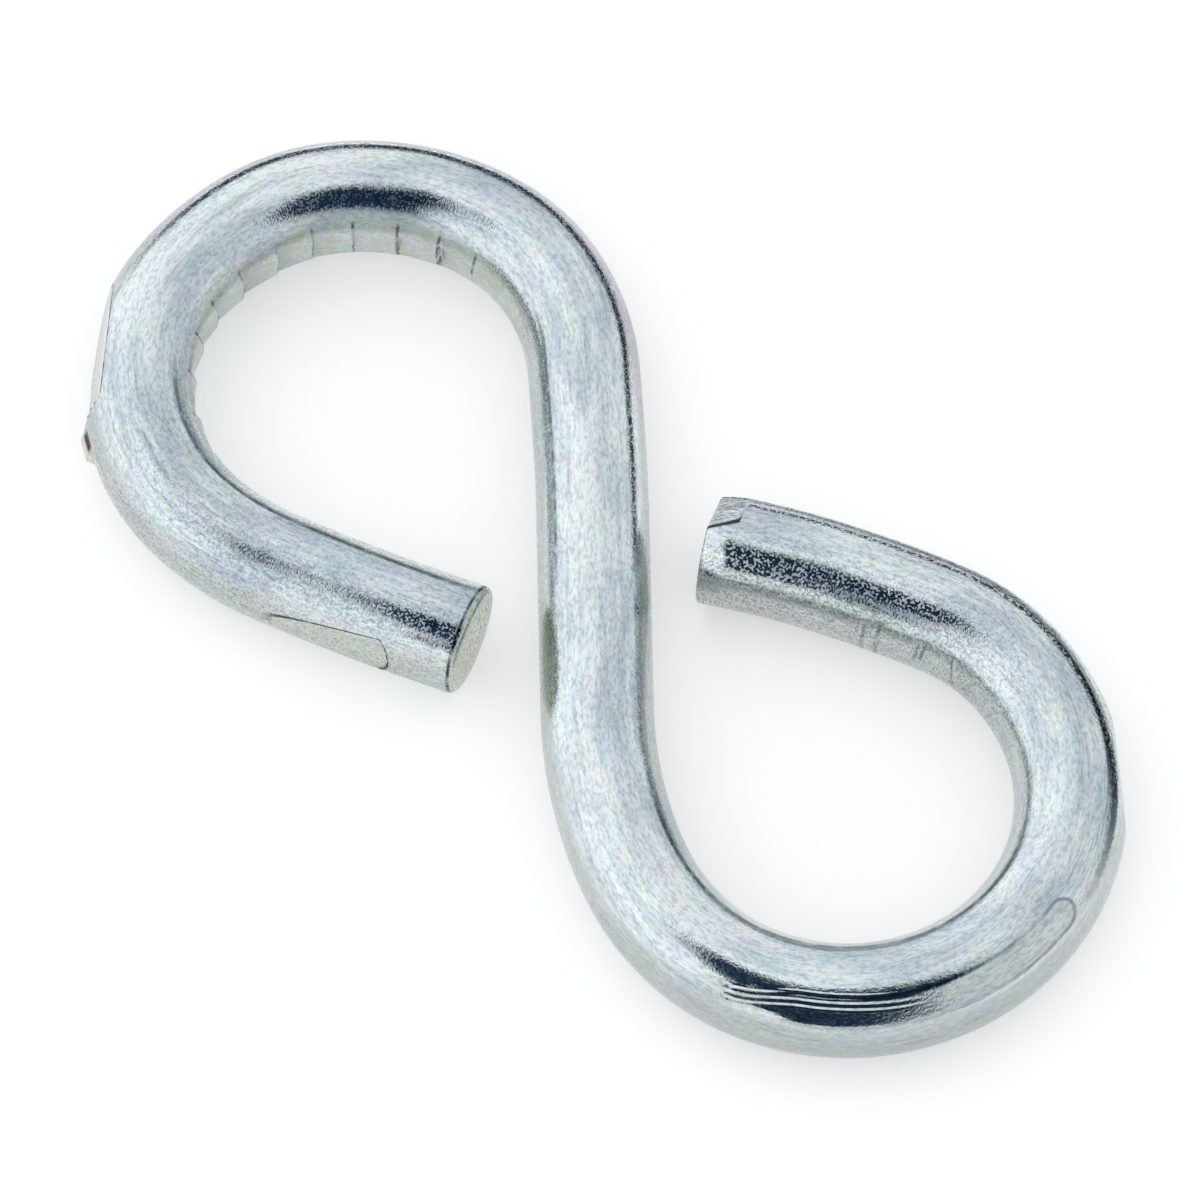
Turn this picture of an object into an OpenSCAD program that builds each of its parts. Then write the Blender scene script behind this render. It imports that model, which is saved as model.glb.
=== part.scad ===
// S hook bent from one length of round wire, lying flat on its side.
//
// X runs along the hook, from the upper eye at -X to the lower eye at +X.
// Z is up, and the wire rests on Z = 0.
// Lengths are in millimetres and angles in degrees.

/* [Wire] */
// Thickness of the round wire.
wire_d = 5; // [4.4:0.1:5.6]

/* [Spine] */
// Length of the straight wire between the two eyes.
spine_len = 10.8; // [9:0.1:13]

/* [Upper eye] */
// Inside width of the upper eye.
upper_bore = 14.7; // [13:0.1:17]
// Bend radius of the gentle lead from the spine into the upper eye.
upper_lead_r = 96; // [80:1:110]
// Turn of that gentle lead.
upper_lead_turn = 3.7; // [3:0.1:4.5]
// Turn of the wire around the upper eye.
upper_turn = 241.6; // [236:0.2:242]
// Bend radius where the upper eye opens out into its arm.
upper_arm_r = 56; // [50:1:80]
// Turn of that opening out.
upper_arm_turn = 1; // [0.8:0.1:1.2]
// Length of the straight end of the upper arm.
upper_arm_len = 8.6; // [7:0.1:9]
// Width of the worn edge around the upper arm's end.
upper_edge = 0.3; // [0.1:0.05:0.6]

/* [Lower eye] */
// Inside width of the lower eye.
lower_bore = 14.7; // [13:0.1:17]
// Bend radius of the lead from the spine into the lower eye.
lower_lead_r = 22; // [19:0.2:25]
// Turn of that lead.
lower_lead_turn = 22.3; // [20:0.1:24]
// Turn of the wire around the lower eye.
lower_turn = 219.2; // [214:0.2:220]
// Bend radius where the lower eye opens out into its arm.
lower_arm_r = 44; // [38:1:50]
// Turn of that opening out.
lower_arm_turn = 13.5; // [12:0.1:14]
// Length of the straight end of the lower arm.
lower_arm_len = 0.8; // [0.4:0.1:1.4]
// Width of the worn edge around the lower arm's end.
lower_edge = 0.15; // [0.1:0.05:0.3]

// Row of teeth pressed into the inside of the upper eye

/* [Teeth of the upper eye] */
// Number of teeth.
teeth_count = 14; // [8:1:15]
// Direction of the first tooth, measured about the eye from +X.
teeth_start = 95; // [90:0.5:104]
// Turn of one tooth.
teeth_pitch = 14; // [12:0.1:14.4]
// Depth of a tooth at its deep end.
teeth_depth = 0.48; // [0.25:0.01:0.6]
// Depth of a tooth at its shallow end.
teeth_lead = 0.06; // [0.03:0.01:0.2]
// Share of these depths that is left at both ends of the row.
teeth_fade = 0.45; // [0.3:0.05:0.7]

// Shaved flat and its burr on the outside of the upper eye

/* [Shaved flat of the upper eye] */
// Direction of the flat, measured about the eye from +X.
shave_dir = -145; // [-150:0.5:-140]
// Upward lean of the flat.
shave_lean = 13; // [0:1:20]
// Depth of the flat.
shave_depth = 0.5; // [0.3:0.02:0.6]
// Direction of the tip of the burr.
burr_dir = -122.5; // [-126:0.5:-119]
// Length of the burr before its tip.
burr_rise = 1.5; // [1:0.1:2.4]
// Length of the burr after its tip.
burr_fall = 2.2; // [1.2:0.1:2.6]
// Width of the burr where it starts, across the wire.
burr_width = 2.2; // [1.4:0.1:3]
// Width of the burr at its tip.
burr_tip = 1; // [0.6:0.1:1.4]
// Height of the burr's tip above the outside of the wire.
burr_up = 0.64; // [0.3:0.02:0.7]

// Rounded flat on the outside of the upper arm

/* [Flat of the upper arm] */
// Distance from the end of the arm to the blunt end of the flat.
dent_from_end = 3; // [2:0.1:4]
// Radius of the blunt end.
dent_r = 1.65; // [1.4:0.05:2]
// Depth of the flat near its blunt end.
dent_depth = 0.3; // [0.2:0.01:0.5]
// Upward lean of the flat.
dent_lean = 5; // [0:1:12]
// Angle at which the flat runs out of the wire.
dent_slope = 3.5; // [2:0.5:6]
// Length of the tool mark before it runs out.
dent_len = 8; // [7:0.5:10]

// Scraped land along the lower eye

/* [Scraped land of the lower eye] */
// Direction in which the land starts, measured about the eye from +X.
land_start = -75; // [-90:1:-60]
// Turn of the land at its full width.
land_turn = 74; // [50:1:90]
// Turn of the narrow tip of the land.
land_tip_turn = 12; // [6:1:20]
// Lean of the land outward from the top of the wire.
land_lean = 40; // [32:1:46]
// Depth of the land.
land_depth = 0.09; // [0.05:0.01:0.15]
// Depth of the narrow tip.
land_tip_depth = 0.04; // [0.02:0.005:0.05]

// Three flats pressed into the outside of the lower eye

/* [Pressed flats of the lower eye] */
// Direction of the first flat, measured about the eye from +X.
press_a_dir = -98; // [-104:1:-92]
// Depth of the first flat.
press_a_depth = 0.16; // [0.08:0.01:0.25]
// Downward lean of the first flat.
press_a_lean = 18; // [8:1:28]
// Direction of the second flat.
press_b_dir = -67; // [-74:1:-60]
// Depth of the second flat.
press_b_depth = 0.13; // [0.08:0.01:0.25]
// Downward lean of the second flat.
press_b_lean = 26; // [16:1:34]
// Direction of the third flat.
press_c_dir = 49; // [42:1:56]
// Depth of the third flat.
press_c_depth = 0.27; // [0.15:0.01:0.4]
// Upward lean of the third flat.
press_c_lean = 5; // [0:1:15]

// Fine marks pressed across the inside of the lower eye

/* [Marks of the lower eye] */
// Number of marks.
marks_count = 5; // [3:1:6]
// Distance along the wire from the arm's end to the first mark.
marks_from_end = 8.7; // [7:0.1:10]
// Distance along the wire between two marks.
marks_pitch = 2; // [1.6:0.1:2.4]
// Depth of a mark.
marks_depth = 0.12; // [0.06:0.01:0.2]
// Width of a mark.
marks_width = 0.24; // [0.15:0.01:0.4]

// Chip broken from the corner of the lower arm's end

/* [Chip of the lower arm] */
// Lean of the chip outward from the top of the wire.
chip_lean = 38; // [26:1:46]
// Slope of the chip towards the end of the wire.
chip_slope = 20; // [12:1:26]
// Length of the chip along the wire.
chip_len = 1.3; // [0.9:0.1:1.7]
// Depth of the chip where it starts.
chip_depth = 0.25; // [0.1:0.01:0.35]

/* [Hidden] */

// Fineness of the wire's section and of its bends.
wire_fn = 40;
bend_fn = 72;
// Clearance of every cutter past the wire.
over = 1;
// A joining bend is a hair thinner than its neighbours and reaches a little into both.
hair = 0.01;
reach = 0.2;
r = wire_d / 2;
upper_r = upper_bore / 2 + r;
lower_r = lower_bore / 2 + r;

// Runs of each half, outward from the middle of the spine: [length, radius, turn].
// A straight run has radius 0, and every bend turns left.
upper_runs = [
    [spine_len / 2, 0, 0],
    [0, upper_lead_r, upper_lead_turn],
    [0, upper_r, upper_turn],
    [0, upper_arm_r, upper_arm_turn],
    [upper_arm_len, 0, 0],
];
lower_runs = [
    [spine_len / 2, 0, 0],
    [0, lower_lead_r, lower_lead_turn],
    [0, lower_r, lower_turn],
    [0, lower_arm_r, lower_arm_turn],
    [lower_arm_len, 0, 0],
];

// Directions and places in the plane: a place is [x, y, heading].
function dir(a) = [cos(a), sin(a)];
function left(a) = [-sin(a), cos(a)];
function arc_len(radius, turn) = radius * turn * PI / 180;
function run_len(run) = run[1] > 0 ? arc_len(run[1], run[2]) : run[0];
function go_straight(p, len) = [p[0] + len * cos(p[2]), p[1] + len * sin(p[2]), p[2]];
function go_round(p, radius, turn) = [
    p[0] + radius * (sin(p[2] + turn) - sin(p[2])),
    p[1] + radius * (cos(p[2]) - cos(p[2] + turn)),
    p[2] + turn,
];
function go(p, run) = run[1] > 0 ? go_round(p, run[1], run[2]) : go_straight(p, run[0]);
function go_part(p, run, len) =
    run[1] > 0 ? go_round(p, run[1], len * 180 / PI / run[1]) : go_straight(p, len);

// Place where run number n starts.
function place(start, runs, n) = n == 0 ? start : go(place(start, runs, n - 1), runs[n - 1]);

// Length of the first n runs, and the place at a distance along them.
function len_to(runs, n) = n == 0 ? 0 : len_to(runs, n - 1) + run_len(runs[n - 1]);
function run_at(runs, d, n = 0) =
    n == len(runs) - 1 || d <= len_to(runs, n + 1) ? n : run_at(runs, d, n + 1);
function along(start, runs, d) =
    go_part(place(start, runs, run_at(runs, d)), runs[run_at(runs, d)],
        d - len_to(runs, run_at(runs, d)));

// Centre of the eye, seen from the start of its bend.
function eye(start, runs) =
    let (p = place(start, runs, 2)) [p[0], p[1]] + runs[2][1] * left(p[2]);

// The spine is turned so that both eyes lie on the X axis.
raw_upper = eye([0, 0, 180], upper_runs);
raw_lower = eye([0, 0, 0], lower_runs);
spine_dir = -atan2(raw_lower[1] - raw_upper[1], raw_lower[0] - raw_upper[0]);
turned_upper = eye([0, 0, spine_dir + 180], upper_runs);
turned_lower = eye([0, 0, spine_dir], lower_runs);

// The whole hook is centred on the origin in X and its eyes lie on Y = 0.
middle_x = (turned_upper[0] - upper_r + turned_lower[0] + lower_r) / 2;
upper_start = [-middle_x, -turned_upper[1], spine_dir + 180];
lower_start = [-middle_x, -turned_upper[1], spine_dir];
upper_eye = eye(upper_start, upper_runs);
lower_eye = eye(lower_start, lower_runs);
upper_end = place(upper_start, upper_runs, len(upper_runs));
lower_end = place(lower_start, lower_runs, len(lower_runs));
lower_len = len_to(lower_runs, len(lower_runs));

// Moves its children to a place, facing along the wire.
module at(p) {
    translate([p[0], p[1], r])
        rotate([0, 0, p[2]])
            children();
}

// Straight wire from the origin along +X.
module straight(len) {
    rotate([0, 90, 0])
        cylinder(r = r, h = len, $fn = wire_fn);
}

// Straight end of an arm, from the origin along +X, whose far edge is worn.
module arm_end(len, edge) {
    rotate([0, 90, 0])
        rotate_extrude($fn = wire_fn)
            polygon([[0, 0], [r, 0], [r, len - edge], [r - edge, len], [0, len]]);
}

// Wire bending left from the origin, which faces +X.
module bend(radius, turn) {
    translate([0, radius, 0])
        rotate([0, 0, -90])
            rotate_extrude(angle = turn, $fn = bend_fn)
                translate([radius, 0])
                    circle(r = r, $fn = wire_fn);
}

// Bend between two other runs.
module joining_bend(radius, turn) {
    extra = reach * 180 / PI / radius;
    translate([0, radius, 0])
        rotate([0, 0, -90 - extra])
            rotate_extrude(angle = turn + 2 * extra, $fn = bend_fn)
                translate([radius, 0])
                    circle(r = r - hair, $fn = wire_fn);
}

// One eye with its lead and its arm.
module eye_and_arm(start, runs, edge) {
    at(place(start, runs, 1))
        joining_bend(runs[1][1], runs[1][2]);
    at(place(start, runs, 2))
        bend(runs[2][1], runs[2][2]);
    at(place(start, runs, 3))
        joining_bend(runs[3][1], runs[3][2]);
    at(place(start, runs, 4))
        arm_end(runs[4][0], edge);
}

// The bent wire, before any tool mark.
module bent_wire() {
    at(place(upper_start, upper_runs, 1))
        rotate([0, 0, 180])
            straight(spine_len);
    eye_and_arm(upper_start, upper_runs, upper_edge);
    eye_and_arm(lower_start, lower_runs, lower_edge);
}

// Ends of one tooth: the depth is full in the middle of the row and less at its ends.
function fade(n) = teeth_fade + (1 - teeth_fade) * sin(180 * (n + 0.5) / teeth_count);
function tooth(n) =
    let (a = teeth_start + n * teeth_pitch, f = fade(n)) [
        (upper_bore / 2 + teeth_lead * f) * dir(a),
        (upper_bore / 2 + teeth_depth * f) * dir(a + teeth_pitch),
    ];

// Serrated block that presses the row of teeth.
module teeth_block() {
    translate([upper_eye[0], upper_eye[1], -over])
        linear_extrude(height = wire_d + 2 * over)
            polygon([[0, 0], for (n = [0 : teeth_count - 1]) each tooth(n)]);
}

// Slab whose inner face shaves a flat from the outside of an eye.
module flat_slab(eye_place, eye_r, direction, lean, depth) {
    translate([eye_place[0], eye_place[1], r])
        rotate([0, 0, direction])
            translate([eye_r, 0, 0])
                rotate([0, -lean, 0])
                    translate([r - depth, -2 * wire_d, -wire_d])
                        cube([wire_d, 4 * wire_d, 2 * wire_d]);
}

// Outlines of the metal pushed up at the end of the shaved flat: from above and from the side.
module burr_plan() {
    outside = upper_r + r;
    polygon([
        [upper_r, -burr_rise],
        [outside + burr_up / 2, -burr_rise],
        [outside + burr_up, -burr_tip / 6],
        [outside + burr_up, burr_tip / 6],
        [outside + burr_up / 2, burr_fall / 2],
        [outside - burr_up / 2, burr_fall],
        [upper_r, burr_fall],
    ]);
}
module burr_side() {
    polygon([
        [-burr_rise, -burr_width / 2],
        [0, -burr_tip / 2],
        [burr_fall, -burr_tip / 4],
        [burr_fall, burr_tip / 4],
        [0, burr_tip / 2],
        [-burr_rise, burr_width / 2],
    ]);
}
module burr() {
    translate([upper_eye[0], upper_eye[1], r])
        rotate([0, 0, burr_dir])
            intersection() {
                translate([0, 0, -wire_d / 2])
                    linear_extrude(height = wire_d)
                        burr_plan();
                translate([upper_r - wire_d, 0, 0])
                    rotate([90, 0, 90])
                        linear_extrude(height = 2 * wire_d)
                            burr_side();
            }
}

// Round-ended tool that leaves the flat on the outside of the upper arm.
module dent_tool() {
    at(upper_end)
        rotate([90 - dent_lean, 0, 0])
            translate([-dent_from_end - dent_r, 0, r - dent_depth])
                rotate([0, dent_slope, 0]) {
                    cylinder(r = dent_r, h = wire_d, $fn = wire_fn);
                    translate([-dent_len, -dent_r, 0])
                        cube([dent_len, 2 * dent_r, wire_d]);
                }
}

// Ring-shaped scraper that leaves a conical land on the lower eye.
module land_scraper(start, turn, depth) {
    translate([lower_eye[0], lower_eye[1], r])
        rotate([0, 0, start])
            rotate_extrude(angle = turn, $fn = bend_fn)
                translate([lower_r, 0])
                    rotate(90 - land_lean)
                        translate([r - depth, -r / 2])
                            square([over, r]);
}

// Wedge that presses one fine mark across the inside of the wire.
module mark_wedge(n) {
    at(along(lower_start, lower_runs, lower_len - marks_from_end - n * marks_pitch))
        translate([0, r - marks_depth, -r - over])
            linear_extrude(height = wire_d + 2 * over)
                polygon([
                    [0, 0],
                    [marks_width / 2, marks_depth],
                    [marks_width / 2, marks_depth + over],
                    [-marks_width / 2, marks_depth + over],
                    [-marks_width / 2, marks_depth],
                ]);
}

// Block that breaks the chip from the corner of the lower arm.
module chip_block() {
    at(lower_end)
        rotate([chip_lean, 0, 0])
            translate([-chip_len, -wire_d / 2, r - chip_depth])
                rotate([0, chip_slope, 0])
                    cube([chip_len + over, wire_d, r]);
}

module s_hook() {
    color([0.80, 0.82, 0.84])
        difference() {
            union() {
                bent_wire();
                burr();
            }
            teeth_block();
            flat_slab(upper_eye, upper_r, shave_dir, shave_lean, shave_depth);
            flat_slab(lower_eye, lower_r, press_a_dir, -press_a_lean, press_a_depth);
            flat_slab(lower_eye, lower_r, press_b_dir, -press_b_lean, press_b_depth);
            flat_slab(lower_eye, lower_r, press_c_dir, press_c_lean, press_c_depth);
            dent_tool();
            land_scraper(land_start, land_turn, land_depth);
            land_scraper(land_start + land_turn, land_tip_turn, land_tip_depth);
            for (n = [0 : marks_count - 1])
                mark_wedge(n);
            chip_block();
        }
}

s_hook();
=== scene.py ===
"""Looks of an S hook bent from bright-plated wire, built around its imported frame.

Lengths are millimetres until the finished mesh is scaled to metres. A place on the wire is
given by its distance s along the wire from the upper arm's end, and by the angle phi around
the wire, which is 0 at the top and grows to the left of the direction of travel. The inside
of the upper eye is at phi = -90 degrees, and the inside of the lower eye at phi = +90.
"""

import logging
import math
from dataclasses import dataclass, field
from enum import Enum
from typing import Any

import bpy
import numpy as np
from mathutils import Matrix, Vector

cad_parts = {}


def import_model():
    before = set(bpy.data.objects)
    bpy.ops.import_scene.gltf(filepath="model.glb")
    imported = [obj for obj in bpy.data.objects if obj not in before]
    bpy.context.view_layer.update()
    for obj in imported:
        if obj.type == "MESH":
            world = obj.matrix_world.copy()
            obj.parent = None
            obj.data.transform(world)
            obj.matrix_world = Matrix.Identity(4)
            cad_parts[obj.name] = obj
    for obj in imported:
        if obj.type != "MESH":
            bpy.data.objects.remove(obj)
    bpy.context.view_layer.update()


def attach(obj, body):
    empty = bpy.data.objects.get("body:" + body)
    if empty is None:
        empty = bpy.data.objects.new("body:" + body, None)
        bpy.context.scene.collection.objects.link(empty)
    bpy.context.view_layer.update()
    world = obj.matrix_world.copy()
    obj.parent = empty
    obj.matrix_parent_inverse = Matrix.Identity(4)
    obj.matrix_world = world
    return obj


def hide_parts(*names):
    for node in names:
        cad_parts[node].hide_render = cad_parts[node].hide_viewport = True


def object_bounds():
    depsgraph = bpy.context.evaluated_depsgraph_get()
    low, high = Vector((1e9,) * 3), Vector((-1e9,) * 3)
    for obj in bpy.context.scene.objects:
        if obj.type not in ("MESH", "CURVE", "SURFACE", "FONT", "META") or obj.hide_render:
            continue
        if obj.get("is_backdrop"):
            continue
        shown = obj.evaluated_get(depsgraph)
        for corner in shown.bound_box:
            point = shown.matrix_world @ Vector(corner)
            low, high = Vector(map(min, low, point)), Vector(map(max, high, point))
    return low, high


LOG = logging.getLogger("s_hook")
MM = 0.001
NODE = "s_hook"
BODY = "root"
# Reach of a cut where it leaves the wire alone.
FAR = 9.0
# Angle round the wire from which the shaved flat's start is slanted, in degrees.
SLANT_PHI = 88.0
Colour = tuple[float, float, float, float]


class Mark(str, Enum):
    """Names of the attributes that the wire's mesh carries."""

    AXIS = "axis"
    HEADING = "heading"
    ALONG = "along"
    SHRINK = "shrink"
    TOOTH = "tooth"
    STEP = "step"
    PHI = "phi"
    STRIP = "strip"


class Value:
    """A number, vector or colour in a node tree, on which Python's operators add nodes."""

    def __init__(self, nodes: "Nodes", socket: bpy.types.NodeSocket) -> None:
        """Wraps a socket of one of the tree's nodes."""
        self.nodes = nodes
        self.socket = socket

    def __add__(self, other: Any) -> "Value":
        """Sum of two numbers."""
        return self.nodes.math("ADD", self, other)

    def __radd__(self, other: Any) -> "Value":
        """Sum of two numbers."""
        return self.nodes.math("ADD", other, self)

    def __sub__(self, other: Any) -> "Value":
        """Difference of two numbers."""
        return self.nodes.math("SUBTRACT", self, other)

    def __rsub__(self, other: Any) -> "Value":
        """Difference of two numbers."""
        return self.nodes.math("SUBTRACT", other, self)

    def __mul__(self, other: Any) -> "Value":
        """Product of two numbers."""
        return self.nodes.math("MULTIPLY", self, other)

    def __rmul__(self, other: Any) -> "Value":
        """Product of two numbers."""
        return self.nodes.math("MULTIPLY", other, self)

    def __truediv__(self, other: Any) -> "Value":
        """Quotient of two numbers."""
        return self.nodes.math("DIVIDE", self, other)

    def __rtruediv__(self, other: Any) -> "Value":
        """Quotient of two numbers."""
        return self.nodes.math("DIVIDE", other, self)

    def __neg__(self) -> "Value":
        """The number with its sign turned."""
        return self.nodes.math("MULTIPLY", self, -1.0)

    def __abs__(self) -> "Value":
        """The number without its sign."""
        return self.nodes.math("ABSOLUTE", self)

    def sin(self) -> "Value":
        """Sine of an angle in radians."""
        return self.nodes.math("SINE", self)

    def cos(self) -> "Value":
        """Cosine of an angle in radians."""
        return self.nodes.math("COSINE", self)

    def root(self) -> "Value":
        """Square root."""
        return self.nodes.math("SQRT", self)

    def least(self, other: Any, rounding: float = 0.0) -> "Value":
        """Smaller of two numbers, with the corner between them rounded.

        Args:
            other: The other number.
            rounding: Distance over which the two run into each other.

        Returns:
            The smaller number.
        """
        if rounding:
            return self.nodes.math("SMOOTH_MIN", self, other, rounding)
        return self.nodes.math("MINIMUM", self, other)

    def most(self, other: Any) -> "Value":
        """Larger of two numbers."""
        return self.nodes.math("MAXIMUM", self, other)

    def step(self, low: float, high: float, before: float = 0.0, after: float = 1.0) -> "Value":
        """Smooth change from one number to another.

        Args:
            low: Where the change starts.
            high: Where it ends.
            before: Result before the change.
            after: Result after it.

        Returns:
            The changing number.
        """
        node = self.nodes.add(
            "ShaderNodeMapRange",
            {"interpolation_type": "SMOOTHSTEP"},
            {"Value": self, "From Min": low, "From Max": high, "To Min": before, "To Max": after},
        )
        return Value(self.nodes, node.outputs[0])

    def slope(self, low: float, high: float, before: float = 0.0, after: float = 1.0) -> "Value":
        """Straight change from one number to another, between two places."""
        values = {"Value": self, "From Min": low, "From Max": high, "To Min": before, "To Max": after}
        return Value(self.nodes, self.nodes.add("ShaderNodeMapRange", {}, values).outputs[0])

    def hump(self, centre: float, before: float, after: float) -> "Value":
        """A smooth hump of height 1.

        Args:
            centre: Where the hump is highest.
            before: Its reach before the centre.
            after: Its reach after the centre.

        Returns:
            The hump.
        """
        return self.step(centre - before, centre) * self.step(centre, centre + after, 1.0, 0.0)

    def within(self, low: float, high: float, edge: float) -> "Value":
        """1 between two places and 0 outside, with soft edges of a width."""
        rise = self.step(low - edge, low + edge)
        return rise * self.step(high - edge, high + edge, 1.0, 0.0)

    def line(self, width: float, blur: float) -> "Value":
        """1 where the number is near 0 and 0 away from it."""
        return abs(self).step(width, width + blur, 1.0, 0.0)

    def negative(self, edge: float) -> "Value":
        """1 where the number is negative and 0 where it is not, with a soft edge."""
        return self.step(-edge, edge, 1.0, 0.0)


class Nodes:
    """The nodes of one tree."""

    def __init__(self, tree: bpy.types.NodeTree) -> None:
        """Starts on an empty tree."""
        self.tree = tree
        tree.nodes.clear()

    def add(
        self, kind: str, settings: dict[str, Any] | None = None, values: dict[Any, Any] | None = None
    ) -> bpy.types.Node:
        """Adds a node of any type.

        Args:
            kind: The node's type.
            settings: Its settings, which are set first.
            values: A number, a colour, a socket or a Value for each socket, by name or place.

        Returns:
            The node.
        """
        node = self.tree.nodes.new(kind)
        for name, setting in (settings or {}).items():
            setattr(node, name, setting)
        for name, value in (values or {}).items():
            self._feed(node.inputs[name], value)
        return node

    def _feed(self, socket: bpy.types.NodeSocket, value: Any) -> None:
        """Links a socket, or sets its value.

        Args:
            socket: The socket to feed.
            value: A number, a colour, a socket or a Value.
        """
        if isinstance(value, Value):
            value = value.socket
        if isinstance(value, bpy.types.NodeSocket):
            self.tree.links.new(value, socket)
        else:
            socket.default_value = value

    def math(self, operation: str, *values: Any) -> Value:
        """One Math node on numbers."""
        node = self.add("ShaderNodeMath", {"operation": operation}, dict(enumerate(values)))
        return Value(self, node.outputs[0])

    def vector(self, operation: str, *values: Any, out: str = "Vector") -> Value:
        """One Vector Math node."""
        node = self.add("ShaderNodeVectorMath", {"operation": operation}, dict(enumerate(values)))
        return Value(self, node.outputs[out])

    def join(self, x: Any, y: Any, z: Any) -> Value:
        """Vector of three numbers."""
        return Value(self, self.add("ShaderNodeCombineXYZ", {}, {0: x, 1: y, 2: z}).outputs[0])

    def split(self, vector: Value) -> tuple[Value, Value, Value]:
        """Three numbers of a vector."""
        node = self.add("ShaderNodeSeparateXYZ", {}, {0: vector})
        return tuple(Value(self, out) for out in node.outputs)

    def attribute(self, mark: Mark, out: str = "Fac") -> Value:
        """A value that the mesh carries, in a material."""
        node = self.add("ShaderNodeAttribute", {"attribute_name": mark.value})
        return Value(self, node.outputs[out])

    def mix(self, factor: Any, first: Any, second: Any) -> Value:
        """Mixture of two colours."""
        node = self.add("ShaderNodeMix", {"data_type": "RGBA"}, {0: factor, 6: first, 7: second})
        return Value(self, node.outputs[2])


def put(name: str, data: bpy.types.ID) -> bpy.types.Object:
    """Adds an object to the scene.

    Args:
        name: The object's name.
        data: Its mesh or camera.

    Returns:
        The object.
    """
    thing = bpy.data.objects.new(name, data)
    bpy.context.scene.collection.objects.link(thing)
    return thing


def new_material(name: str) -> tuple[bpy.types.Material, Nodes]:
    """A material and its empty tree.

    Args:
        name: The material's name.

    Returns:
        The material and its nodes.
    """
    material = bpy.data.materials.new(name)
    material.use_nodes = True
    return material, Nodes(material.node_tree)


@dataclass(frozen=True)
class Spot:
    """A place on the wire in a node tree, and the tooth that is there."""

    s: Value
    phi: Value
    tooth: Value

    def off(self, degrees: float) -> Value:
        """Angle round the wire from a direction, in radians."""
        return self.phi - math.radians(degrees)

    def slanted(self, lean: float) -> Value:
        """Place along the wire, set back on the near side of the slant's angle."""
        return self.s + self.off(SLANT_PHI).least(0.0) * lean

    def toward(self, degrees: float, least: float = 0.05) -> Value:
        """Cosine of the angle from a direction, which stays above a least value."""
        return self.off(degrees).cos().most(least)

    def turn(self, low: float, high: float, before: float = 0.0, after: float = 1.0) -> Value:
        """Smooth change between two angles round the wire, in degrees."""
        return self.phi.step(math.radians(low), math.radians(high), before, after)

    def steep(self, low: float, high: float, before: float = 0.0, after: float = 1.0) -> Value:
        """Smooth change between two angles to either side of the top, in degrees."""
        return abs(self.phi).step(math.radians(low), math.radians(high), before, after)


@dataclass(frozen=True)
class Wave:
    """Smooth rise or fall along the wire."""

    start: float
    end: float
    rise: float

    def height(self, spot: Spot) -> Value:
        """Height at a place, which is 0 before the start."""
        return spot.s.step(self.start, self.end, 0.0, self.rise)


@dataclass(frozen=True)
class Band:
    """Soft-edged patch, as [start, end, edge] along the wire and [angle, edge] on either side."""

    along: tuple[float, float, float]
    low: tuple[float, float] = (-200.0, 1.0)
    high: tuple[float, float] = (200.0, 1.0)
    strength: float = 1.0

    def over(self, spot: Spot) -> Value:
        """The patch's strength on it, and 0 away from it.

        Args:
            spot: Place on the wire.

        Returns:
            The strength.
        """
        (low, rise), (high, fall) = self.low, self.high
        across = spot.turn(low - rise, low + rise) * spot.turn(high - fall, high + fall, 1.0, 0.0)
        return across * spot.s.within(*self.along) * self.strength


@dataclass(frozen=True)
class Noise:
    """Noise over the plating, drawn out along the wire, and the smooth step made from it."""

    along: float
    across: float
    detail: float = 2.0
    rough: float = 0.5
    levels: tuple[float, ...] = (0.0, 1.0)

    def over(self, strip: Value, out: int = 0) -> Value:
        """The noise, around 0.5.

        Args:
            strip: The place on the wire that the noise follows.
            out: 0 for a number, or 1 for a colour.

        Returns:
            The noise.
        """
        place = strip.nodes.vector("MULTIPLY", strip, (self.along, self.across, self.across))
        values = {"Vector": place, "Scale": 1.0, "Detail": self.detail, "Roughness": self.rough}
        return Value(strip.nodes, strip.nodes.add("ShaderNodeTexNoise", {}, values).outputs[out])

    def stepped(self, strip: Value) -> Value:
        """The step between two levels of the noise, as [low, high, before, after]."""
        return self.over(strip).step(*self.levels)


@dataclass(frozen=True)
class Run:
    """A straight or evenly bent stretch of wire. A straight one has no turn."""

    length: float
    turn: float = 0.0

    @classmethod
    def bend(cls, radius: float, degrees: float) -> "Run":
        """A bend to the left."""
        turn = math.radians(degrees)
        return cls(radius * turn, turn)

    def follow(self, place: np.ndarray, distance: float) -> np.ndarray:
        """Place and heading after a distance along the run.

        Args:
            place: X, Y and heading where the run starts.
            distance: How far to go.

        Returns:
            X, Y and heading there.
        """
        x, y, heading = place
        if self.turn == 0.0:
            return np.array([x + distance * math.cos(heading), y + distance * math.sin(heading), heading])
        radius = self.length / self.turn
        after = heading + distance / radius
        x += radius * (math.sin(after) - math.sin(heading))
        y += radius * (math.cos(heading) - math.cos(after))
        return np.array([x, y, after])


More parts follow.
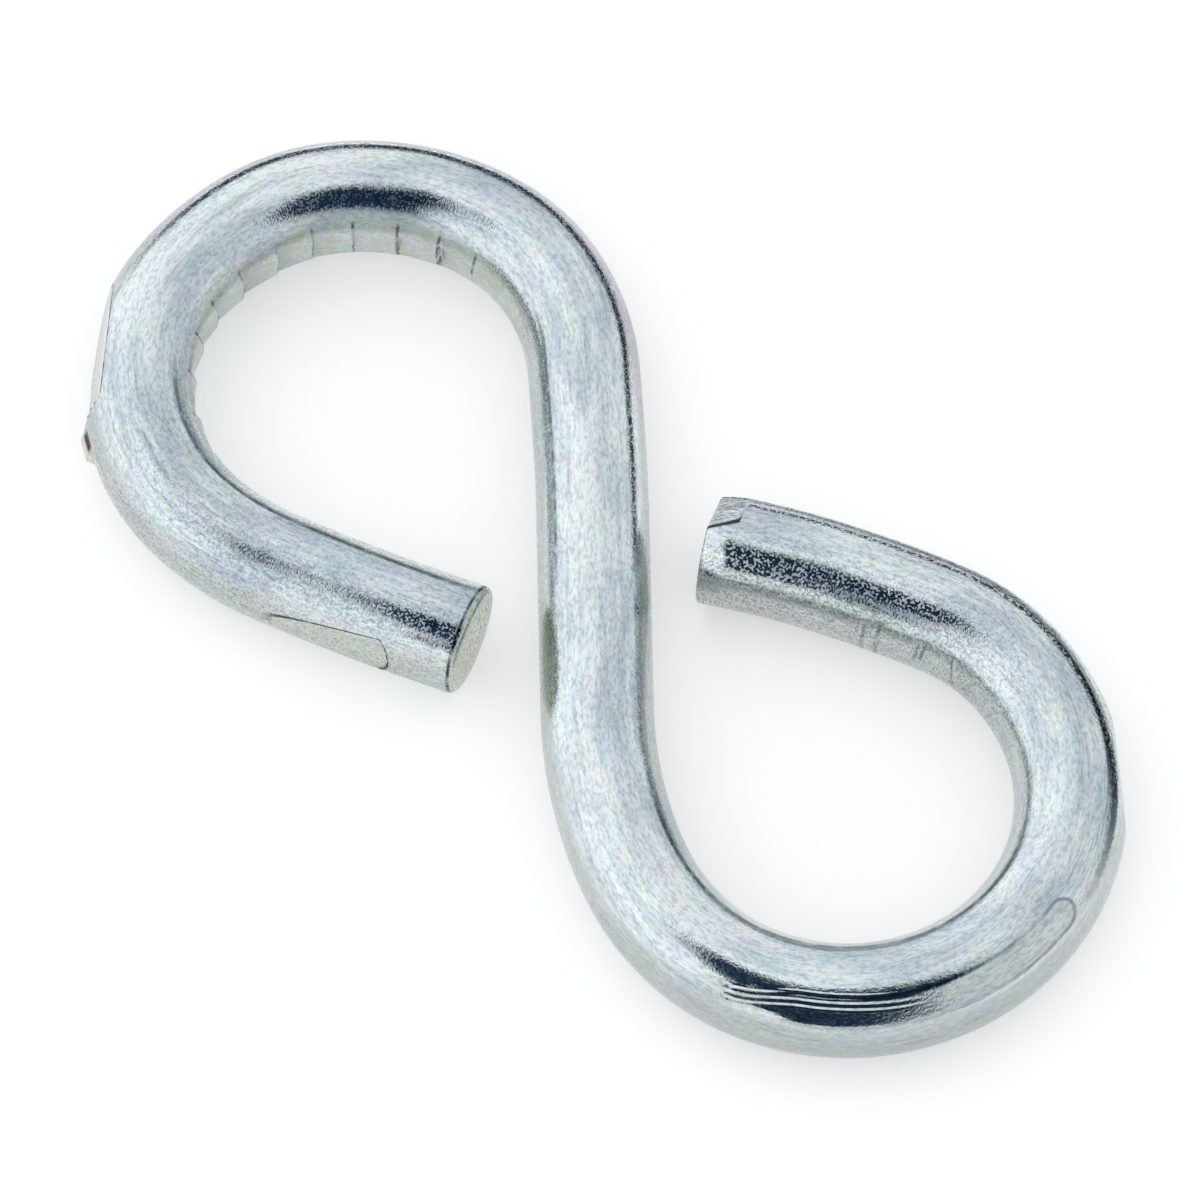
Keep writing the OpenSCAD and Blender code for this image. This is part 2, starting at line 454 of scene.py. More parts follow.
@dataclass(frozen=True)
class Half:
    """Half of the hook, outward from the middle of its spine."""

    spine: float
    lead_radius: float
    lead_turn: float
    eye_radius: float
    eye_turn: float
    arm_radius: float
    arm_turn: float
    arm: float

    def runs(self) -> list[Run]:
        """Stretches of this half, in order.

        Returns:
            The stretches, from the spine to the arm.
        """
        return [
            Run(self.spine),
            Run.bend(self.lead_radius, self.lead_turn),
            Run.bend(self.eye_radius, self.eye_turn),
            Run.bend(self.arm_radius, self.arm_turn),
            Run(self.arm),
        ]

    def length(self) -> float:
        """Length of this half along its middle line."""
        return sum(run.length for run in self.runs())

    def at(self, start: np.ndarray, distance: float) -> np.ndarray:
        """Place and heading at a distance from the middle of the spine.

        Args:
            start: X, Y and heading in the middle of the spine.
            distance: Distance along this half.

        Returns:
            X, Y and heading there.
        """
        place = start
        for run in self.runs()[:-1]:
            if distance <= run.length:
                return run.follow(place, distance)
            place = run.follow(place, run.length)
            distance -= run.length
        return self.runs()[-1].follow(place, distance)

    def eye(self, start: np.ndarray) -> np.ndarray:
        """Centre of this half's eye.

        Args:
            start: X, Y and heading in the middle of the spine.

        Returns:
            X and Y of the centre.
        """
        spine, lead = self.runs()[:2]
        x, y, heading = lead.follow(spine.follow(start, spine.length), lead.length)
        return np.array([x - self.eye_radius * math.sin(heading), y + self.eye_radius * math.cos(heading)])


@dataclass(frozen=True)
class Sway:
    """A place where the bent wire strays a little from its even bends."""

    middle: float
    reach: float
    left: float

    def at(self, s: float) -> float:
        """Distance to the left at a place on the wire."""
        far = min(abs(s - self.middle) / self.reach, 1.0)
        return self.left * (1 + math.cos(math.pi * far)) / 2


@dataclass
class WirePath:
    """Middle line of the whole wire, with both eyes on the X axis."""

    wire_radius: float = 2.5
    upper: Half = Half(5.4, 96.0, 3.7, 9.85, 241.6, 56.0, 1.0, 8.6)
    lower: Half = Half(5.4, 22.0, 22.3, 9.85, 219.2, 44.0, 13.5, 0.8)
    sways: tuple[Sway, ...] = (
        Sway(4.0, 6.0, 0.08),
        Sway(11.5, 4.5, -0.12),
        Sway(29.0, 5.0, -0.12),
        Sway(37.5, 4.0, -0.04),
        Sway(44.5, 5.0, 0.12),
        Sway(53.0, 5.0, -0.05),
        Sway(79.0, 4.0, 0.05),
        Sway(113.5, 6.0, -0.10),
        Sway(125.0, 5.0, 0.05),
    )
    start: np.ndarray = field(init=False)

    def __post_init__(self) -> None:
        """Turns the spine and centres the hook, as the frame has it."""
        apart = self.lower.eye(np.zeros(3)) - self.upper.eye(np.array([0.0, 0.0, math.pi]))
        heading = -math.atan2(apart[1], apart[0])
        upper = self.upper.eye(np.array([0.0, 0.0, heading + math.pi]))
        lower = self.lower.eye(np.array([0.0, 0.0, heading]))
        self.start = np.array([-(upper[0] + lower[0]) / 2, -upper[1], heading])

    def length(self) -> float:
        """Length of the wire."""
        return self.upper.length() + self.lower.length()

    def at(self, s: float) -> np.ndarray:
        """Place and heading at a distance from the upper arm's end, facing the lower arm.

        Args:
            s: Distance along the wire.

        Returns:
            X, Y and heading there.
        """
        middle = self.upper.length()
        if s >= middle:
            place = self.lower.at(self.start, s - middle)
        else:
            back = self.start + np.array([0.0, 0.0, math.pi])
            place = self.upper.at(back, middle - s) - np.array([0.0, 0.0, math.pi])
        x, y, heading = place
        left = sum(sway.at(s) for sway in self.sways)
        return np.array([x - left * math.sin(heading), y + left * math.cos(heading), heading])


@dataclass(frozen=True)
class Facet:
    """A flat that a tool left across a bend of the wire."""

    middle: float
    phi: float
    depth: float
    start: float
    end: float
    lean: float = 0.0
    bend_radius: float = 9.85
    start_edge: float = 0.06
    end_edge: float = 0.05
    longest_turn: float = 1.2

    def reach(self, radius: float, spot: Spot) -> Value:
        """Distance from the wire's middle line to the flat.

        Args:
            radius: The wire's radius.
            spot: Place on the wire.

        Returns:
            The distance, which is far off where the flat doesn't reach.
        """
        turned = (spot.s - self.middle) * (1 / self.bend_radius)
        turned = turned.most(-self.longest_turn).least(self.longest_turn)
        away = (1.0 - turned.cos()) * self.bend_radius
        gate = spot.slanted(self.lean).step(self.start, self.start + self.start_edge, FAR, 0.0)
        gate = gate + spot.s.step(self.end - self.end_edge, self.end, 0.0, FAR)
        return (away + (radius - self.depth)) / spot.toward(self.phi) + gate


@dataclass(frozen=True)
class ToothRow:
    """Teeth pressed into the inside of the upper eye, as [length, depth at the deep end]."""

    start: float = 43.3
    teeth: tuple[tuple[float, float], ...] = (
        (2.4, 0.33),
        (2.5, 0.27),
        (2.6, 0.27),
        (2.4, 0.38),
        (2.3, 0.47),
        (2.7, 0.56),
        (2.5, 0.47),
        (2.2, 0.44),
        (2.5, 0.46),
        (2.8, 0.44),
        (2.7, 0.42),
        (2.1, 0.36),
        (2.0, 0.32),
        (1.5, 0.24),
    )
    shallow_share: float = 0.14
    phi: float = -97.0
    # Dull inside of the eye, which the toothed jaw held.
    jaw: Band = Band((16.0, 49.0, 3.0), high=(-57.5, 3.5))

    def edges(self) -> list[float]:
        """Places of the steps between the teeth."""
        return [self.start - sum(tooth[0] for tooth in self.teeth[:n]) for n in range(len(self.teeth) + 1)]

    def depth(self, s: float) -> float:
        """Depth of the teeth below the plain wire at a place, or -1 outside the row.

        Args:
            s: Distance along the wire.

        Returns:
            The depth in millimetres, or -1.
        """
        edges = self.edges()
        for high, low, (length, deep) in zip(edges, edges[1:], self.teeth):
            if low <= s < high:
                shallow = deep * self.shallow_share
                return shallow + (deep - shallow) * (high - s) / length
        return -1.0

    def to_step(self, s: float) -> float:
        """Distance to the nearest step."""
        return min(abs(s - edge) for edge in self.edges())

    def reach(self, radius: float, spot: Spot) -> Value:
        """Distance from the wire's middle line to the teeth, or far off outside them."""
        outside = spot.tooth.step(-1.0, -0.9, FAR, 0.0)
        return (radius - spot.tooth) / spot.toward(self.phi) + outside


@dataclass(frozen=True)
class Burr:
    """Metal that the shaving tool pushed up in front of it, and the torn lip at its end."""

    start: float = 13.4
    end: float = 19.36
    phi: float = 90.0
    width: float = 48.0
    height: float = 0.14
    lean: float = 0.8
    drop: float = 0.06
    lip: tuple[float, float] = (18.3, 19.3)
    lip_edge: float = 0.15
    lip_phi: float = 102.0
    lip_width: float = 19.0
    lip_height: float = 0.34

    def rise(self, spot: Spot) -> Value:
        """Height above the plain wire.

        Args:
            spot: Place on the wire.

        Returns:
            The height in millimetres.
        """
        wide, narrow = math.radians(self.width), math.radians(self.lip_width)
        swell = spot.s.slope(self.start, self.end, 0.0, self.height)
        swell = swell * spot.off(self.phi).hump(0.0, wide, wide)
        lip = spot.s.within(*self.lip, self.lip_edge) * self.lip_height
        lip = lip * spot.off(self.lip_phi).hump(0.0, narrow, narrow)
        return (swell + lip) * spot.slanted(self.lean).step(self.end, self.end + self.drop, 1.0, 0.0)

    def tear(self, spot: Spot) -> Value:
        """1 in the tear behind the lip, where painted shadow darkens the crevice."""
        behind = spot.off(self.lip_phi - self.lip_width * 0.85).line(math.radians(2.5), math.radians(4.0))
        return behind * spot.s.within(self.lip[0] + 0.15, self.lip[1] - 0.15, 0.12)

    def torn(self, spot: Spot) -> Value:
        """1 on the bare lip itself."""
        beyond = spot.turn(self.lip_phi - 13, self.lip_phi - 9)
        return beyond * spot.s.within(self.lip[0] - 0.05, self.lip[1] + 0.1, 0.12)


@dataclass(frozen=True)
class ArmFlat:
    """Flat on the outside of the upper arm, blunt and round towards the arm's end."""

    blunt: float = 3.02
    round_radius: float = 1.65
    phi: float = 86.0
    depth: float = 0.34
    slope: float = 3.3
    edge: float = 0.07
    far_side: float = 8.0

    def outline(self, radius: float, spot: Spot) -> Value:
        """Distance outside the tool's outline, negative within it.

        Args:
            radius: The wire's radius.
            spot: Place on the wire.

        Returns:
            The distance in millimetres.
        """
        across = spot.off(self.phi).sin() * radius
        before = (spot.s - (self.blunt + self.round_radius)).least(0.0)
        return (before * before + across * across).root() - self.round_radius

    def plane(self, radius: float, spot: Spot) -> Value:
        """Distance from the middle line to the flat, without its round end."""
        runs_out = (spot.s - self.blunt) * math.tan(math.radians(self.slope))
        return (runs_out + (radius - self.depth)) / spot.toward(self.phi)

    def reach(self, radius: float, spot: Spot) -> Value:
        """Distance from the wire's middle line to the flat, or far off outside it."""
        outside = self.outline(radius, spot).step(-self.edge, self.edge, 0.0, FAR)
        return self.plane(radius, spot) + outside

    def border(self, radius: float, spot: Spot) -> Value:
        """Rough distance outside the flat's upper border, negative within it.

        Args:
            radius: The wire's radius.
            spot: Place on the wire.

        Returns:
            The distance in millimetres.
        """
        far = spot.off(self.phi + self.far_side).step(-0.1, 0.1)
        above = (self.plane(radius, spot) - radius) * (1.0 - far) * 4.0
        return self.outline(radius, spot).most(above - far * 0.3)


@dataclass(frozen=True)
class Land:
    """Land that a bending tool scraped along the lower eye, with drag lines where it starts."""

    start: float = 83.5
    end: float = 98.15
    phi: float = -40.5
    depth: float = 0.085
    slant: float = 2.9
    half_width: float = 0.66
    least_cosine: float = 0.3
    drag_phi: float = -43.0
    drag_path: tuple[Wave, ...] = (Wave(83.2, 86.4, 14.0), Wave(87.4, 91.5, -3.0))
    drag_half_width: float = 9.0
    drag_gap: float = 6.6

    def border(self, radius: float, spot: Spot) -> Value:
        """Distance outside the land, which starts on a slant and has a round tip.

        Args:
            radius: The wire's radius.
            spot: Place on the wire.

        Returns:
            The distance in millimetres.
        """
        across = spot.off(self.phi).sin() * radius
        past = (spot.s - (self.end - self.half_width)).most(0.0)
        capsule = (past * past + across * across).root() - self.half_width
        return capsule.most((spot.s - spot.off(self.phi) * self.slant) * -1.0 + self.start)

    def reach(self, radius: float, spot: Spot) -> Value:
        """Distance from the wire's middle line to the land, or far off outside it."""
        plane = (radius - self.depth) / spot.toward(self.phi, self.least_cosine)
        return plane + self.border(radius, spot).step(-0.05, 0.08, 0.0, FAR)

    def drag(self, spot: Spot) -> Value:
        """Height of the drag lines.

        Args:
            spot: Place on the wire.

        Returns:
            The height, from -1 to 1.
        """
        path = sum(wave.height(spot) for wave in self.drag_path) + self.drag_phi
        across = spot.phi * (180 / math.pi) - path
        along = spot.s.step(83.2, 83.8) * spot.s.step(88.0, 91.5, 1.0, 0.0)
        ridges = (across * (math.tau / self.drag_gap)).sin()
        return ridges * across.within(-self.drag_half_width, self.drag_half_width, 2.0) * along


@dataclass(frozen=True)
class CrossMarks:
    """Fine marks across the inside of the lower eye, as [place, lean, from phi, to phi, depth]."""

    marks: tuple[tuple[float, float, float, float, float], ...] = (
        (106.4, 1.0, 60.0, 80.0, 0.02),
        (108.8, 1.5, 58.0, 84.0, 0.03),
        (111.1, 1.8, 60.0, 88.0, 0.035),
        (112.45, -0.6, 57.0, 100.0, 0.05),
        (114.45, 0.3, 58.0, 84.0, 0.07),
        (114.75, 0.2, 60.0, 84.0, 0.05),
        (116.75, 0.1, 56.0, 110.0, 0.09),
        (117.45, 0.1, 62.0, 110.0, 0.06),
    )
    flat_width: float = 0.02
    side_width: float = 0.13
    end_edge: float = 4.0

    def groove(self, spot: Spot) -> Value:
        """Depth of the marks at a place.

        Args:
            spot: Place on the wire.

        Returns:
            The depth in millimetres.
        """
        depth = spot.s * 0.0
        for place, lean, low, high, deep in self.marks:
            past = spot.s - spot.off((low + high) / 2) * lean - place
            within = spot.phi.within(math.radians(low), math.radians(high), math.radians(self.end_edge))
            depth = depth.most(past.line(self.flat_width, self.side_width) * within * deep)
        return depth


@dataclass(frozen=True)
class Chip:
    """Piece broken from the corner of the lower arm's end."""

    start: float = 124.12
    phi: float = -38.0
    depth: float = 0.30
    slope: float = 18.0
    least_cosine: float = 0.3

    def reach(self, radius: float, spot: Spot) -> Value:
        """Distance from the wire's middle line to the break, or far off outside it.

        Args:
            radius: The wire's radius.
            spot: Place on the wire.

        Returns:
            The distance in millimetres.
        """
        floor = (radius - self.depth) - (spot.s - self.start) * math.tan(math.radians(self.slope))
        outside = spot.s.step(self.start - 0.03, self.start + 0.05, FAR, 0.0)
        return floor / spot.toward(self.phi, self.least_cosine) + outside


@dataclass(frozen=True)
class PaintedDarkLine:
    """Painted dark reflection line along the wire's flanks."""

    start: float
    end: float
    phi_start: float
    phi_end: float
    half_width: float = 2.0

    def strength(self, spot: Spot) -> Value:
        """1 on the line.

        Args:
            spot: Place on the wire.

        Returns:
            The line's strength.
        """
        middle = spot.s.step(self.start, self.end, math.radians(self.phi_start), math.radians(self.phi_end))
        across = (spot.phi - middle).line(math.radians(self.half_width * 0.5), math.radians(self.half_width))
        return across * spot.s.within(self.start, self.end, 1.5)


@dataclass(frozen=True)
class Rings:
    """Where the rings of the wire's mesh lie."""

    first: float = 0.5
    last: float = 0.3
    plain: float = 0.26
    fine: float = 0.125
    edge: float = 0.03
    fine_stretches: tuple[tuple[float, float], ...] = (
        (2.6, 9.4),
        (18.0, 25.5),
        (83.0, 98.6),
        (106.0, 118.0),
        (123.6, 125.4),
    )

    def places(self, length: float, edges: list[float]) -> list[float]:
        """Places of all rings between the wire's ends.

        Args:
            length: Length of the wire.
            edges: Places of the steps, each of which gets rings close by.

        Returns:
            The places in order.
        """
        places, s = [], self.first
        while s < length - self.last:
            places.append(s)
            fine = any(low <= s <= high for low, high in self.fine_stretches)
            s += self.fine if fine else self.plain
        near = 2 * self.edge
        kept = [p for p in places if all(abs(p - e) > near for e in edges)]
        return sorted(kept + [e + d for e in edges for d in (-self.edge, -0.002, self.edge)])


@dataclass(frozen=True)
class WornEnd:
    """Sheared end of the wire, whose edge is worn round and whose face is slightly domed."""

    edge: float
    crown: float = 0.05
    edge_rings: int = 5
    face_shares: tuple[float, ...] = (0.93, 0.82, 0.66, 0.45, 0.22, 0.02)

    def rings(self, radius: float) -> list[tuple[float, float]]:
        """Rings from the worn edge to the middle of the face.

        Args:
            radius: The wire's radius.

        Returns:
            For each ring, its distance from the plain end and its share of the radius.
        """
        rings = []
        for n in range(self.edge_rings + 1):
            angle = math.pi / 2 * n / self.edge_rings
            rings.append((self.edge * (1 - math.sin(angle)), 1 - self.edge * (1 - math.cos(angle)) / radius))
        face = 1 - self.edge / radius
        return rings + [(-self.crown * (1 - share * share), face * share) for share in self.face_shares]


@dataclass
class Hook:
    """The bent wire with every mark that its making left."""

    path: WirePath = field(default_factory=WirePath)
    teeth: ToothRow = field(default_factory=ToothRow)
    burr: Burr = field(default_factory=Burr)
    arm_flat: ArmFlat = field(default_factory=ArmFlat)
    land: Land = field(default_factory=Land)
    cross_marks: CrossMarks = field(default_factory=CrossMarks)
    chip: Chip = field(default_factory=Chip)
    rings: Rings = field(default_factory=Rings)
    upper_end: WornEnd = field(default_factory=lambda: WornEnd(0.32))
    lower_end: WornEnd = field(default_factory=lambda: WornEnd(0.15))
    sides: int = 112
    side_spread: float = 0.33
    # Keeps the mesh's corners inside the solid.
    inset: float = 0.004
    rounding: float = 0.02
    tooth_rounding: float = 0.09
    pressed_rounding: float = 0.05
    shave: Facet = Facet(middle=21.9, phi=77.0, depth=0.5, start=19.36, end=30.0, lean=0.8)
    pressed: tuple[Facet, ...] = (
        Facet(middle=79.2, phi=-72.0, depth=0.16, start=70.0, end=100.0),
        Facet(middle=84.6, phi=-64.0, depth=0.13, start=70.0, end=100.0),
        Facet(middle=104.5, phi=-85.0, depth=0.27, start=95.0, end=115.0),
    )

    def ring_rows(self) -> list[tuple[float, float]]:
        """Place and share of the radius of every ring, from end to end.

        Returns:
            The rings in order.
        """
        length, radius = self.path.length(), self.path.wire_radius
        first = list(reversed(self.upper_end.rings(radius)))
        last = [(length - s, share) for s, share in self.lower_end.rings(radius)]
        edges = self.teeth.edges() + [self.burr.end]
        return first + [(s, 1.0) for s in self.rings.places(length, edges)] + last

    def wire_line(self) -> bpy.types.Object:
        """Line of ring centres that the wire is swept along, with what each ring needs.

        Returns:
            The line, which carries an attribute for every mark but the angle and the strip.
        """
        rows = self.ring_rows()
        length = self.path.length()
        centres = []
        for s, _ in rows:
            x, y, heading = self.path.at(min(max(s, 0.0), length))
            beyond = min(s, 0.0) + max(s - length, 0.0)
            centres.append((x + beyond * math.cos(heading), y + beyond * math.sin(heading), heading))
        mesh = bpy.data.meshes.new("wire_line")
        points = [(n * 0.1, 0.0, 0.0) for n in range(len(rows))]
        mesh.from_pydata(points, [(n, n + 1) for n in range(len(rows) - 1)], [])
        kept = {
            Mark.AXIS: [(x, y, self.path.wire_radius) for x, y, _ in centres],
            Mark.HEADING: [heading for _, _, heading in centres],
            Mark.ALONG: [s for s, _ in rows],
            Mark.SHRINK: [share for _, share in rows],
            Mark.TOOTH: [self.teeth.depth(s) for s, _ in rows],
            Mark.STEP: [self.teeth.to_step(s) for s, _ in rows],
        }
        for mark, values in kept.items():
            kind, name = ("FLOAT_VECTOR", "vector") if mark is Mark.AXIS else ("FLOAT", "value")
            attribute = mesh.attributes.new(mark.value, kind, "POINT")
            attribute.data.foreach_set(name, np.array(values, np.float32).ravel())
        return put("wire_line", mesh)

    def sweep_tree(self, material: bpy.types.Material) -> bpy.types.NodeTree:
        """Tree that sweeps the wire's section along the line and cuts every mark.

        Args:
            material: The finish of the wire.

        Returns:
            The tree.
        """
        tree = bpy.data.node_groups.new("Wire sweep", "GeometryNodeTree")
        inputs = {"Line": "Geometry", "Wire radius": "Float", "Sides": "Int", "Scale": "Float"}
        for name, kind in inputs.items():
            tree.interface.new_socket(name, in_out="INPUT", socket_type=f"NodeSocket{kind}")
        tree.interface.new_socket("Wire", in_out="OUTPUT", socket_type="NodeSocketGeometry")
        nodes = Nodes(tree)
        given = nodes.add("NodeGroupInput")
        surface = self._swept(nodes, given)
        spot = Spot(*(self._read(nodes, mark) for mark in (Mark.ALONG, Mark.PHI, Mark.TOOTH)))
        surface = self._placed(nodes, surface, self.surface_reach(spot), spot)
        scale = given.outputs["Scale"]
        steps = {
            "Transform": {"Scale": nodes.join(scale, scale, scale)},
            "FlipFaces": {},
            "SetShadeSmooth": {},
            "RealizeInstances": {},
            "SetMaterial": {"Material": material},
        }
        for step, values in steps.items():
            surface = nodes.add(f"GeometryNode{step}", {}, {0: surface, **values}).outputs[0]
        nodes.add("NodeGroupOutput", {}, {0: surface})
        return tree

    def _read(self, nodes: Nodes, mark: Mark, vector: bool = False) -> Value:
        """A value that the mesh carries, in a geometry tree.

        Args:
            nodes: Nodes of the sweep's tree.
            mark: The attribute's name.
            vector: True where it is a vector.

        Returns:
            The value.
        """
        settings = {"data_type": "FLOAT_VECTOR" if vector else "FLOAT"}
        node = nodes.add("GeometryNodeInputNamedAttribute", settings, {"Name": mark.value})
        return Value(nodes, node.outputs[0])

    def _keep(self, nodes: Nodes, mesh: Any, mark: Mark, value: Value, vector: bool = False) -> Any:
        """Stores a value on the points of a mesh or curve.

        Args:
            nodes: Nodes of the sweep's tree.
            mesh: Output that gives the mesh or curve.
            mark: The attribute's name.
            value: What to store.
            vector: True where it is a vector.

        Returns:
            Output that gives the mesh or curve with the value on it.
        """
        settings = {"data_type": "FLOAT_VECTOR" if vector else "FLOAT", "domain": "POINT"}
        values = {"Geometry": mesh, "Name": mark.value, "Value": value}
        return nodes.add("GeometryNodeStoreNamedAttribute", settings, values).outputs[0]

    def _swept(self, nodes: Nodes, given: bpy.types.Node) -> Any:
        """Plain tube along the line, whose points know their angle around the wire.

        Args:
            nodes: Nodes of the sweep's tree.
            given: The tree's inputs.

        Returns:
            Output that gives the tube.
        """
        curve = nodes.add("GeometryNodeMeshToCurve", {}, {"Mesh": given.outputs["Line"]}).outputs[0]
        ring = nodes.add(
            "GeometryNodeCurvePrimitiveCircle",
            {"mode": "RADIUS"},
            {"Resolution": given.outputs["Sides"], "Radius": given.outputs["Wire radius"]},
        )
        share = Value(nodes, nodes.add("GeometryNodeSplineParameter").outputs["Factor"])
        even = share * math.tau
        spread = even - math.pi + even.sin() * self.side_spread
        profile = self._keep(nodes, ring.outputs[0], Mark.PHI, spread)
        tube = nodes.add(
            "GeometryNodeCurveToMesh", {}, {"Curve": curve, "Profile Curve": profile, "Fill Caps": True}
        )
        return tube.outputs[0]

    def surface_reach(self, spot: Spot) -> Value:
        """Distance from the wire's middle line to its surface, with every mark cut.

        Args:
            spot: Place on the wire.

        Returns:
            The distance in millimetres.
        """
        radius = self.path.wire_radius
        cuts = [(self.teeth, self.tooth_rounding), (self.shave, self.rounding)]
        cuts += [(facet, self.pressed_rounding) for facet in self.pressed]
        cuts += [(cut, self.rounding) for cut in (self.arm_flat, self.land, self.chip)]
        reach = self.burr.rise(spot) + (radius - self.inset)
        for cut, rounding in cuts:
            reach = reach.least(cut.reach(radius, spot), rounding)
        return reach - self.cross_marks.groove(spot)

    def _placed(self, nodes: Nodes, mesh: Any, reach: Value, spot: Spot) -> Any:
        """Moves the tube's points to the wire's true surface.

        Args:
            nodes: Nodes of the sweep's tree.
            mesh: Output that gives the tube.
            reach: Distance from the middle line to the surface.
            spot: Place on the wire.

        Returns:
            Output that gives the wire in millimetres.
        """
        heading = self._read(nodes, Mark.HEADING)
        full = reach * self._read(nodes, Mark.SHRINK)
        side, up = full * spot.phi.sin(), full * spot.phi.cos()
        offset = nodes.join(-(side * heading.sin()), side * heading.cos(), up)
        place = nodes.vector("ADD", self._read(nodes, Mark.AXIS, vector=True), offset)
        kept = self._keep(nodes, mesh, Mark.STRIP, nodes.join(spot.s, side, up), vector=True)
        return nodes.add("GeometryNodeSetPosition", {}, {"Geometry": kept, "Position": place}).outputs[0]

    def build(self, material: bpy.types.Material) -> bpy.types.Object:
        """Makes the wire as a plain mesh in its place.

        Args:
            material: The finish of the wire.

        Returns:
            The finished piece.
        """
        line = self.wire_line()
        tree = self.sweep_tree(material)
        modifier = line.modifiers.new("sweep", "NODES")
        modifier.node_group = tree
        sizes = {"Wire radius": self.path.wire_radius, "Sides": self.sides, "Scale": MM}
        for item in tree.interface.items_tree:
            if item.in_out == "INPUT" and item.name in sizes:
                modifier[item.identifier] = sizes[item.name]
        bpy.context.view_layer.update()
        evaluated = line.evaluated_get(bpy.context.evaluated_depsgraph_get())
        mesh = bpy.data.meshes.new_from_object(evaluated)
        line.modifiers.remove(modifier)
        bpy.data.objects.remove(line)
        mesh.name = "bent_wire"
        return put("bent_wire", mesh)


